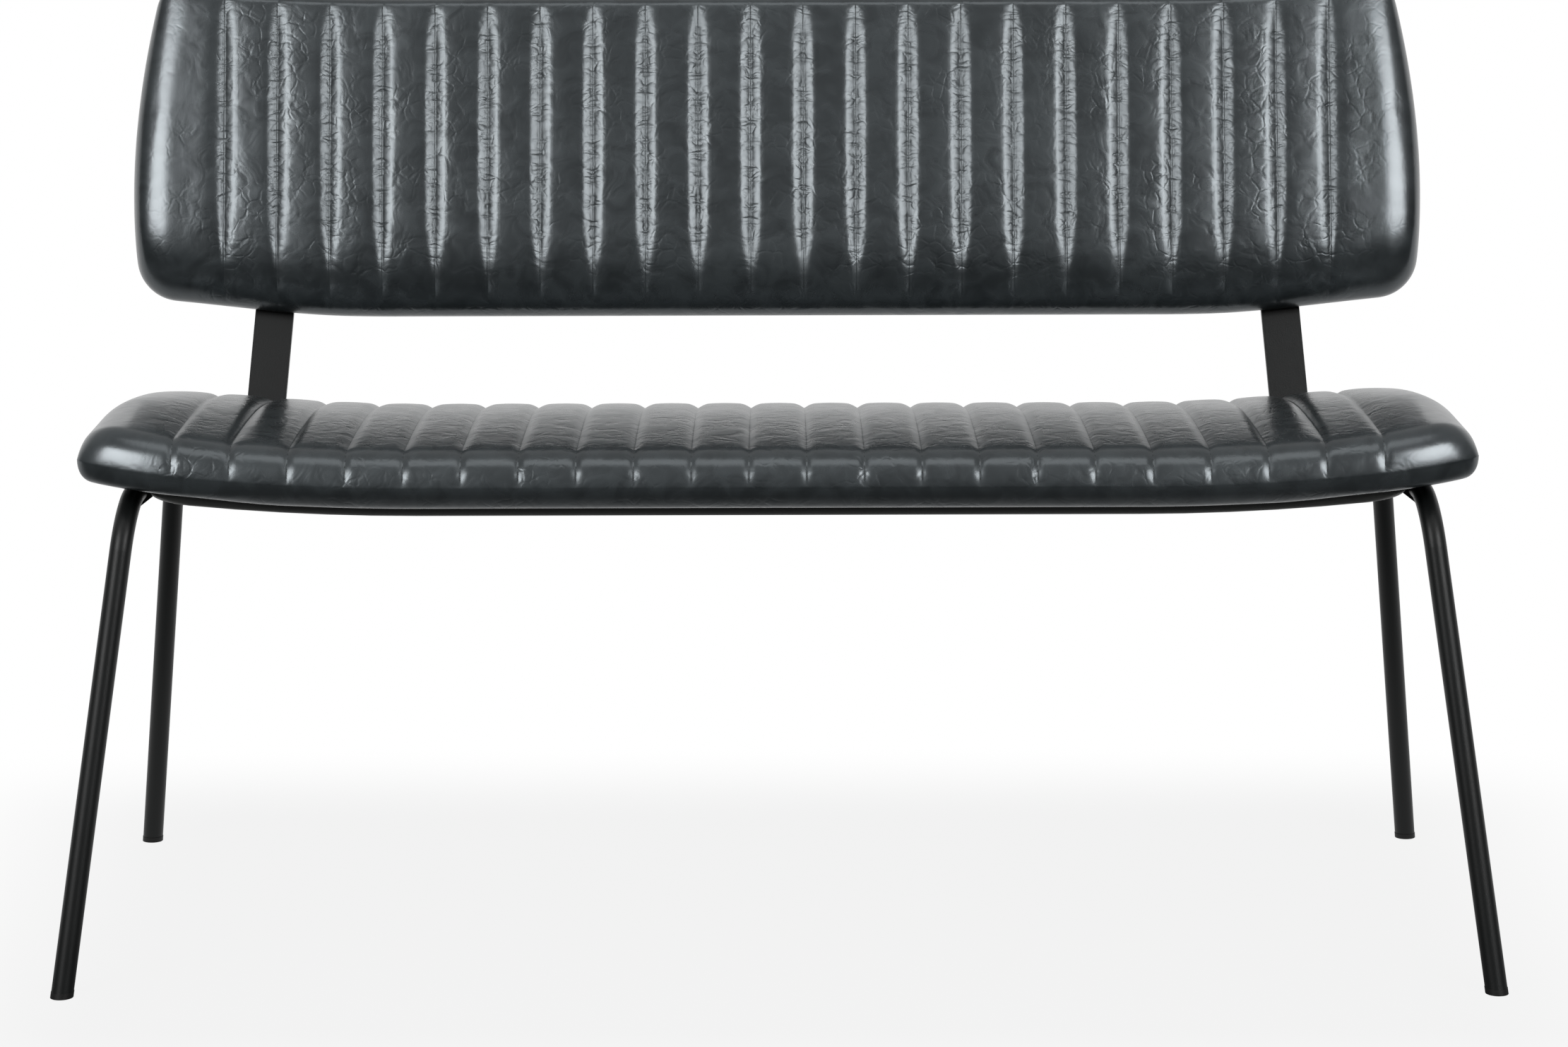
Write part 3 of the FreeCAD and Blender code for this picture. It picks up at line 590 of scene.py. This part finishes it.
def seat_relief(x, offset, height):
    """How far the sewing pulls the cover in: hollows between the channels, a groove along each seam."""
    sewn = ease((height + min(offset * SEWN_SLOPE, SEWN_START)) / SEWN_RISE)
    seam = from_seam(x)
    rearward = ease(offset / SEAT_DEPTH)
    half = mixed(GROOVE_AT_FRONT, GROOVE_AT_REAR, rearward)
    hollow = SEAT_PUFF * (1 - quarter(seam / HALF_CHANNEL)) * mixed(PUFF_AT_FRONT, 1, rearward)
    sunk = SEAM_SINK * groove(seam, half) * mixed(SINK_AT_FRONT, 1, rearward)
    return (hollow + sunk) * sewn


def seat_place(x, offset, under):
    """Point of the seat pad at a station and an offset behind the front line."""
    y = seat_outline(x, offset)
    if under:
        return Vector((x, y, seat_underside(x, offset)))
    end = SEAT_END - abs(x)
    closing = seat_nose(offset) * quarter((SEAT_DEPTH - offset) / REAR_ROLL) * quarter(end / END_ROLL)
    plump = END_PLUMP * towards_end(x, *END_PLUMP_FROM)
    height = (seat_crown(SEAT_FRONT + offset) + plump - SEAT_NOSE) * closing
    lean = ease(offset / SHOULDER_DEPTH)
    outward = Vector((0, -(1 - lean), mixed(FACE_TILT, 1, lean))).normalized()
    face = Vector((x, y, SEAT_NOSE + seat_rise(x) + height))
    return face - outward * seat_relief(x, offset, height)


print("face reaches", round(seat_place(0, SEAT_DEPTH / 2, False).z, 4), "m at the middle")

# %% Seat pad
SEAT_REAR_ZONE = 0.040
SEAT_FACE_ROWS = 25
SEAT_REAR_ROWS = 9
SEAT_PULL = 0.25

seat_stations = pad_stations(SEAT_END - SEAMS[-1])
face_depth = SEAT_DEPTH - NOSE_DEPTH - SEAT_REAR_ZONE
seat_rows = [back for back, up in NOSE_PROFILE]
seat_rows += [NOSE_DEPTH + face_depth * k / SEAT_FACE_ROWS for k in range(1, SEAT_FACE_ROWS + 1)]
rear_turns = [math.pi / 2 * k / SEAT_REAR_ROWS for k in range(1, SEAT_REAR_ROWS + 1)]
seat_rows += [SEAT_DEPTH - SEAT_REAR_ZONE * (1 - math.sin(turn)) for turn in rear_turns]
seat_pad = rolled_pad("seat_cushion", seat_stations, seat_rows, seat_place, SEAT_PULL)
print("seat pad:", len(seat_pad.data.polygons), "faces")

# %% [markdown]
# ## Back pad
# The back is a long padded board. Its ends are bowed, both long edges turn up a little towards them, the
# lower edge is rolled in a large round and the upper one is tight. It could be modelled where it stands,
# leaning back, but every curve would then mix two directions. So it is drawn upright and raked with one
# matrix.

# %% Outline of the back
BACK_RAKE = 15.0
BACK_FOOT = (0, SEAT_REAR + 0.0385, 0.5175)
BACK_TALL = 0.303
BACK_HALF, BACK_BOW, BACK_WIDEST = 0.6072, 0.46, 0.085
LIFT_START, LIFT_CURVE = 0.358, 4.0
LIFT_STRAIGHT_FROM, LIFT_THERE, LIFT_SLOPE = 0.568, 0.011, 0.105
END_REACH = 0.090
LOW_CORNER, HIGH_CORNER = 0.036, 0.022
LOW_RISE = 0.0045
LOW_RISE_FROM = (0.40, 0.16)
back_frame = Matrix.Translation(BACK_FOOT) @ Matrix.Rotation(math.radians(-BACK_RAKE), 4, "X")


def back_lift(x):
    """How far the long edges of the back have turned up at a place along the bench."""
    reach = abs(x)
    if reach < LIFT_STRAIGHT_FROM:
        return max(0, reach - LIFT_START) ** 2 / LIFT_CURVE
    return LIFT_THERE + LIFT_SLOPE * (reach - LIFT_STRAIGHT_FROM)


def back_outline(station, height):
    """Place along the bench, distance to the end and lifted height of a point of the upright back."""
    out = max(0, abs(station) - SEAMS[-1])
    width = BACK_HALF - BACK_BOW * (height - BACK_WIDEST) ** 2 - SEAMS[-1]
    share = out / END_REACH
    x = math.copysign(SEAMS[-1] + width * share, station) if out else station
    end = width * (1 - share)
    low_cut = LOW_CORNER * (1 - quarter(end / LOW_CORNER)) + LOW_RISE * towards_end(x, *LOW_RISE_FROM)
    high_cut = HIGH_CORNER * (1 - quarter(end / HIGH_CORNER))
    blend = height / BACK_TALL
    return x, end, height + low_cut * (1 - blend) ** 2 - high_cut * blend ** 2 + back_lift(x)


print("back:", BACK_TALL, "m tall, raked", BACK_RAKE, "degrees")

# %% Sewn face of the back
BACK_PAD_REAR = -0.0048
BACK_RIM = 0.011
BACK_DEPTH = 0.045
BACK_NOSE = BACK_PAD_REAR - BACK_RIM
REAR_ROUND = 0.010
LOW_ROLL, HIGH_ROLL, SIDE_ROLL = 0.080, 0.013, 0.012
SIDE_SLOPE, SIDE_SLOPE_REACH = 0.010, 0.036
LOW_SLOPE, LOW_SLOPE_REACH = 0.005, 0.13
BACK_PUFF = 0.0014
BACK_SINK = 0.0018
BACK_GROOVE_TIP, BACK_GROOVE = 0.0036, 0.0076
THREAD_SINK, THREAD_GROOVE = 0.0007, 0.0016
# Seams fade in above the lower edge and out below the upper one
SEAM_BELOW, SEAM_LOW_FADE = 0.008, 0.104
SEAM_SPARE, SEAM_HIGH_FADE = 0.001, 0.056


def back_relief(x, height):
    """How far the channels swell, less the grooves of their seams."""
    top = BACK_TALL - SEAM_SPARE
    sewn = ease((height + SEAM_BELOW) / SEAM_LOW_FADE) * ease((top - height) / SEAM_HIGH_FADE)
    seam = from_seam(x)
    sunk = BACK_SINK * groove(seam, mixed(BACK_GROOVE_TIP, BACK_GROOVE, sewn))
    sunk += THREAD_SINK * groove(seam, THREAD_GROOVE)
    return BACK_PUFF * quarter(seam / HALF_CHANNEL) - sunk * sewn


def back_place(station, height, under):
    """Point of the back pad at a station and a height above its lower edge."""
    x, end, z = back_outline(station, height)
    above = BACK_TALL - height
    if under:
        closing = quarter(height / REAR_ROUND) * quarter(above / REAR_ROUND) * quarter(end / REAR_ROUND)
        return back_frame @ Vector((x, BACK_NOSE + BACK_RIM * closing, z))
    low = math.sqrt(1 - (1 - min(height / LOW_ROLL, 1)) ** 3)
    closing = low * quarter(above / HIGH_ROLL) * quarter(end / SIDE_ROLL)
    slope = SIDE_SLOPE * (1 - min(end / SIDE_SLOPE_REACH, 1)) ** 2
    slope += LOW_SLOPE * (1 - min(height / LOW_SLOPE_REACH, 1)) ** 2
    front = (BACK_DEPTH - BACK_RIM - slope + back_relief(x, height)) * closing
    return back_frame @ Vector((x, BACK_NOSE - front, z))


print("deepest seam:", round((BACK_SINK + THREAD_SINK) * 1000, 1), "mm")

# %% Back pad
BACK_LOW_ZONE, BACK_HIGH_ZONE = 0.040, 0.016
BACK_LOW_ROWS, BACK_FACE_ROWS, BACK_HIGH_ROWS = 9, 31, 7
BACK_PULL = 1.0

back_stations = pad_stations(END_REACH)
low_turns = [math.pi / 2 * k / BACK_LOW_ROWS for k in range(BACK_LOW_ROWS + 1)]
high_turns = [math.pi / 2 * k / BACK_HIGH_ROWS for k in range(1, BACK_HIGH_ROWS + 1)]
face_tall = BACK_TALL - BACK_LOW_ZONE - BACK_HIGH_ZONE
back_rows = [BACK_LOW_ZONE * (1 - math.cos(turn)) for turn in low_turns]
back_rows += [BACK_LOW_ZONE + face_tall * k / BACK_FACE_ROWS for k in range(1, BACK_FACE_ROWS + 1)]
back_rows += [BACK_TALL - BACK_HIGH_ZONE * (1 - math.sin(turn)) for turn in high_turns]
back_pad = rolled_pad("back_cushion", back_stations, back_rows, back_place, BACK_PULL)
print("back pad:", len(back_pad.data.polygons), "faces")

# %% [markdown]
# ## Letting the channels swell
# Leather over foam isn't a formula: it swells between the stitches and pulls at them. The swelling could be
# sculpted by hand, but the cloth solver finds it by itself. The seam columns and the underside are pinned,
# and a small pressure pushes the rest outwards. Cloth with spare length would pucker into waves here, but
# this cover is sewn taut, so it keeps its own length. The movement is capped, because foam holds the cover.

# %% Cloth simulation
LEATHER_CLOTH = {
    "quality": 6,
    "mass": 0.35,
    "tension_stiffness": 25,
    "compression_stiffness": 25,
    "shear_stiffness": 12,
    "bending_stiffness": 0.8,
    "air_damping": 3,
    "use_pressure": True,
    "uniform_pressure_force": 4.0,
    "vertex_group_mass": "sewn",
    "pin_stiffness": 1.0,
}
CLOTH_FRAMES = 20
SWELL_CAP = 0.0006
STILL = 1e-9


def swell(pad, pinned):
    """Swell the pad between its pinned points, then keep the simulated shape in the mesh."""
    group = pad.vertex_groups.new(name="sewn")
    group.add(pinned, 1.0, "REPLACE")
    rest = [vert.co.copy() for vert in pad.data.vertices]
    cloth = pad.modifiers.new("cloth", "CLOTH")
    for name, value in LEATHER_CLOTH.items():
        setattr(cloth.settings, name, value)
    cloth.settings.effector_weights.gravity = 0
    cloth.collision_settings.use_collision = False
    cloth.collision_settings.use_self_collision = False
    cloth.point_cache.frame_start = 1
    cloth.point_cache.frame_end = CLOTH_FRAMES
    scene = bpy.context.scene
    for step in range(1, CLOTH_FRAMES + 1):
        scene.frame_set(step)
    shaped = pad.evaluated_get(bpy.context.evaluated_depsgraph_get())
    moves = [vert.co - start for vert, start in zip(shaped.data.vertices, rest)]
    pad.modifiers.clear()
    for vert, start, move in zip(pad.data.vertices, rest, moves):
        length = move.length
        kept = SWELL_CAP * math.tanh(length / SWELL_CAP) / length if length > STILL else 1
        vert.co = start + move * kept
    scene.frame_set(1)
    pad.vertex_groups.clear()
    return max(move.length for move in moves), sum(move.length for move in moves) / len(moves)


print("cloth runs for", CLOTH_FRAMES, "frames")

# %% Pinned seams and smooth skin
def sewn_points(pad, stations, first_row, last_row):
    """Points of the seam columns, and all points underneath."""
    seams = {i for i, x in enumerate(stations) if from_seam(x) < SAME_PLACE}
    columns = pad.data.attributes["station"].data
    rows = pad.data.attributes["row"].data
    return [
        i for i in range(len(columns))
        if rows[i].value <= 0 or (columns[i].value in seams and first_row <= rows[i].value <= last_row)
    ]


def soften(pad):
    """Smooth shading and one level of subdivision for a finished pad."""
    for face in pad.data.polygons:
        face.use_smooth = True
    smooth = pad.modifiers.new("subdivision", "SUBSURF")
    smooth.levels = 1
    smooth.render_levels = 1


print("pinning helper ready")

# %% Swollen pads
# Rows between which the seams are pinned
SEAT_PINNED = (3, len(seat_rows) - 3)
BACK_PINNED = (6, len(back_rows) - 5)

for pad, stations, pinned_rows in (
    (seat_pad, seat_stations, SEAT_PINNED),
    (back_pad, back_stations, BACK_PINNED),
):
    far, mean = swell(pad, sewn_points(pad, stations, *pinned_rows))
    print(pad.name, "moved up to", round(far * 1000, 1), "mm, on average", round(mean * 1000, 2), "mm")
    soften(pad)
    pad.data.materials.append(leather)
    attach(pad, "root")
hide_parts("seat_cover", "seat_quilt_layer", "seat_foam")
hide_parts("back_cover", "back_quilt_layer", "back_foam")
print("pads in place:", seat_pad.name, back_pad.name)

# %% [markdown]
# ## Rear cover of the back
# From behind, a thin panel closes the back. Its leather is pulled over a skin of wadding, so the edges are
# round and the middle is a little plump, but it stays flat where the two brackets press on it. A plane with
# a Solidify modifier would keep hard edges, so the rolled grid serves again, with the panel's own outline.

# %% Rear cover
REAR_LOW, REAR_HIGH = 0.0148, 0.2878
REAR_FRONT = -0.0046
REAR_HALF, REAR_TAPER = 0.5934, 0.0699
REAR_LOW_CORNER, REAR_HIGH_CORNER = 0.022, 0.005
REAR_EDGE_ROUND = 0.004
REAR_PLUMP, PLUMP_END, PLUMP_FADE = 0.0016, 0.42, 0.12
REAR_COLUMNS, REAR_ROWS = 40, 28


def rear_place(station, row, under):
    """Point of the rear cover: station goes from -1 to 1 along it, row from 0 to 1 up."""
    height = REAR_LOW + row * (REAR_HIGH - REAR_LOW)
    half = REAR_HALF - REAR_TAPER * height
    x = station * half
    end = half - abs(x)
    low_cut = REAR_LOW_CORNER * (1 - quarter(end / REAR_LOW_CORNER)) * (1 - row) ** 2
    high_cut = REAR_HIGH_CORNER * (1 - quarter(end / REAR_HIGH_CORNER)) * row ** 2
    z = height + low_cut - high_cut + back_lift(x)
    if under:
        return back_frame @ Vector((x, REAR_FRONT, z))
    border = min(height - REAR_LOW, REAR_HIGH - height, end)
    plump = REAR_PLUMP * math.sin(math.pi * row) * ease((PLUMP_END - abs(x)) / PLUMP_FADE)
    return back_frame @ Vector((x, REAR_FRONT * (1 - quarter(border / REAR_EDGE_ROUND)) + plump, z))


rear_stations = [math.sin(math.pi / 2 * k / REAR_COLUMNS) for k in range(-REAR_COLUMNS, REAR_COLUMNS + 1)]
rear_rows = [0.5 - 0.5 * math.cos(math.pi * k / REAR_ROWS) for k in range(REAR_ROWS + 1)]
rear_cover = rolled_pad("back_rear_leather", rear_stations, rear_rows, rear_place, pull=0.0)
soften(rear_cover)
rear_cover.data.materials.append(leather)
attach(rear_cover, "root")
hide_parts("back_rear_cover")
print("rear cover:", len(rear_cover.data.polygons), "faces")

# %% [markdown]
# ## Stitching
# Every channel seam is held by thread. From the front it is only a line, but close up each stitch is a
# short bead in the bottom of the groove. A curve with an array could carry them. Here each one is a ball of
# twenty faces, stretched and turned along the seam, because over two thousand of them have to stay light.

# %% Stitches along the seams
STITCH_PITCH = 0.0055
STITCH_SIZE = (0.0005, 0.0005, 0.0019)
# Rows of the seat at its front and rear, and zones at the back's two edges, where no thread shows
SEAT_BARE_FRONT, SEAT_BARE_REAR = 3, 4
BACK_BARE_LOW, BACK_BARE_HIGH = 0.05, 0.012


def sew(name, lines):
    """Stitches along lines of points, as one mesh."""
    bm = bmesh.new()
    for points in lines:
        steps = [(b - a).length for a, b in zip(points, points[1:])]
        count = int(sum(steps) / STITCH_PITCH)
        i, walked = 0, 0.0
        for k in range(count):
            target = (k + 0.5) * sum(steps) / count
            while walked + steps[i] < target:
                walked += steps[i]
                i += 1
            middle = points[i].lerp(points[i + 1], (target - walked) / steps[i])
            turn = (points[i + 1] - points[i]).to_track_quat("Z", "X").to_matrix().to_4x4()
            bead = Matrix.Translation(middle) @ turn @ Matrix.Diagonal((*STITCH_SIZE, 1))
            bmesh.ops.create_icosphere(bm, subdivisions=1, radius=1, matrix=bead)
    thread = piece_from(bm, name)
    for face in thread.data.polygons:
        face.use_smooth = True
    thread.data.materials.append(finishes["thread"])
    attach(thread, "root")
    return thread


seat_sewn = seat_rows[SEAT_BARE_FRONT:-SEAT_BARE_REAR]
back_sewn = [row for row in back_rows if BACK_BARE_LOW < row < BACK_TALL - BACK_BARE_HIGH]
seat_lines = [[seat_place(x, row, False) for row in seat_sewn] for x in SEAMS]
back_lines = [[back_place(x, row, False) for row in back_sewn] for x in SEAMS]
for name, lines in (("seat_stitching", seat_lines), ("back_stitching", back_lines)):
    print(name, len(sew(name, lines).data.polygons), "faces")

# %% [markdown]
# ## Floor
# The bench stands on white paper, which has a painted pale grey shade under and around the bench that fades
# to white farther off. A plain white floor would need so much light to look white that the bench would be
# overlit. So the camera sees the floor mostly as paper with a level of its own, and under that lies a matte
# floor that takes the real shadows. Shiny pieces mirror the floor as paper only from under the bench
# backwards, which keeps the low front of the pads dark.

# %% Floor
FLOOR_SIZE = 30
MATTE_DARK, MATTE_PALE = (0.11, 0.11, 0.11, 1), (0.13, 0.13, 0.13, 1)
# The grey of the paper close to the bench is painted shade, standing in for the soft shadow under the bench
PAPER_WHITE, PAINTED_SHADE_GREY = (1, 1, 1, 1), (0.965, 0.965, 0.965, 1)
SHADOW_SHARE = 0.09
# Where the painted shade on the paper ends and begins, in metres from the bench's middle
SHADE_PATCH_REAR = (0.62, 0.30)
SHADE_PATCH_SIDES = (0.95, 0.55)
SHADE_PATCH_FRONT = (-0.62, -0.36)
MIRRORED_FROM = (-0.35, 0.15)


def pale_floor():
    """Matte floor that the camera sees mostly as paper: a painted pale grey shade close to the bench, then
    white.
    """
    finish = Finish("pale_floor")
    place = finish.coordinates()
    along = finish.size_of(finish.part_of(place, 0))
    away = finish.part_of(place, 1)
    # Painted shade: a patch of grey paper under and around the bench, fading to white farther off
    painted_shade_patch = finish.step(away, *SHADE_PATCH_REAR) * finish.step(along, *SHADE_PATCH_SIDES) * finish.step(away, *SHADE_PATCH_FRONT)
    colour = finish.mix(finish.noise(0.7), MATTE_DARK, MATTE_PALE)
    matte = finish.node("BsdfDiffuse", {}, {"Color": colour})
    paper = finish.node("Emission", {}, {"Color": finish.mix(painted_shade_patch, PAPER_WHITE, PAINTED_SHADE_GREY)})
    share = finish.seen(finish.step(away, *MIRRORED_FROM)) * (1 - SHADOW_SHARE * painted_shade_patch)
    shown = finish.node("MixShader", {}, {0: share, 1: matte, 2: paper})
    finish.node("OutputMaterial", {}, {"Surface": shown})
    return finish.material


floor_grid = bmesh.new()
bmesh.ops.create_grid(floor_grid, x_segments=1, y_segments=1, size=FLOOR_SIZE)
floor = piece_from(floor_grid, "floor")
floor.data.materials.append(pale_floor())
print("floor laid")

# %% [markdown]
# ## Lights and world
# Two broad soft lights at the sides draw the bright lines along the seams and the band on each end of the
# back, and one overhead fills the rest. Small lamps would give hard spots on such glossy leather. The world
# is white for the camera. For everything else it is dim near the horizon and brighter above, so that the
# faces between the seams stay dark.

# %% Lights
SIDE_LIGHT_X, SIDE_LIGHT_Y, SIDE_LIGHT_Z = 2.0, -2.3, 1.75
SIDE_LIGHT_TARGET = (0, 0.1, 0.65)
SIDE_LIGHT_SIZE = (1.5, 1.1)
SIDE_LIGHT_POWER = 64
TOP_LIGHT_PLACE, TOP_LIGHT_TARGET = (0, -1.0, 3.0), (0, 0, 0.5)
TOP_LIGHT_SIZE = (2.6, 1.2)
TOP_LIGHT_POWER = 16


def soft_light(name, place, target, size, power):
    lamp = bpy.data.lights.new(name, "AREA")
    lamp.shape = "RECTANGLE"
    lamp.size, lamp.size_y = size
    lamp.energy = power
    light = bpy.data.objects.new(name, lamp)
    bpy.context.scene.collection.objects.link(light)
    light.location = place
    light.rotation_euler = (Vector(target) - Vector(place)).to_track_quat("-Z", "Y").to_euler()


for name, side in (("left_softbox", -1), ("right_softbox", 1)):
    side_place = (side * SIDE_LIGHT_X, SIDE_LIGHT_Y, SIDE_LIGHT_Z)
    soft_light(name, side_place, SIDE_LIGHT_TARGET, SIDE_LIGHT_SIZE, SIDE_LIGHT_POWER)
soft_light("top_softbox", TOP_LIGHT_PLACE, TOP_LIGHT_TARGET, TOP_LIGHT_SIZE, TOP_LIGHT_POWER)

# %% World
HORIZON_LEVEL, ZENITH_LEVEL = 0.15, 0.6
ZENITH_FROM = 0.7
# Directions, as shares of 1, in which the leather mirrors the white backdrop behind the bench
BACKDROP_AWAY = (0.1, 0.5)
BACKDROP_BELOW = (0.62, 0.35)


def studio_world():
    world = bpy.data.worlds.new("studio")
    finish = Finish("studio", world)
    direction = finish.node("TexCoord", output="Generated")
    away = finish.part_of(direction, 1)
    upward = finish.part_of(direction, 2)
    behind = finish.step(away, *BACKDROP_AWAY) * finish.step(upward, *BACKDROP_BELOW)
    dim = finish.step(upward, 0.0, ZENITH_FROM, HORIZON_LEVEL, ZENITH_LEVEL)
    level = dim + finish.seen(behind) * (1 - dim)
    backdrop = finish.node("Background", {}, {"Color": (1, 1, 1, 1), "Strength": level})
    finish.node("OutputWorld", {}, {"Surface": backdrop})
    return world


bpy.context.scene.world = studio_world()
print("world:", bpy.context.scene.world.name)

# %% [markdown]
# ## Last step
# The standard view transform keeps the colours as written.

# %% Finish
bpy.context.scene.view_settings.view_transform = "Standard"
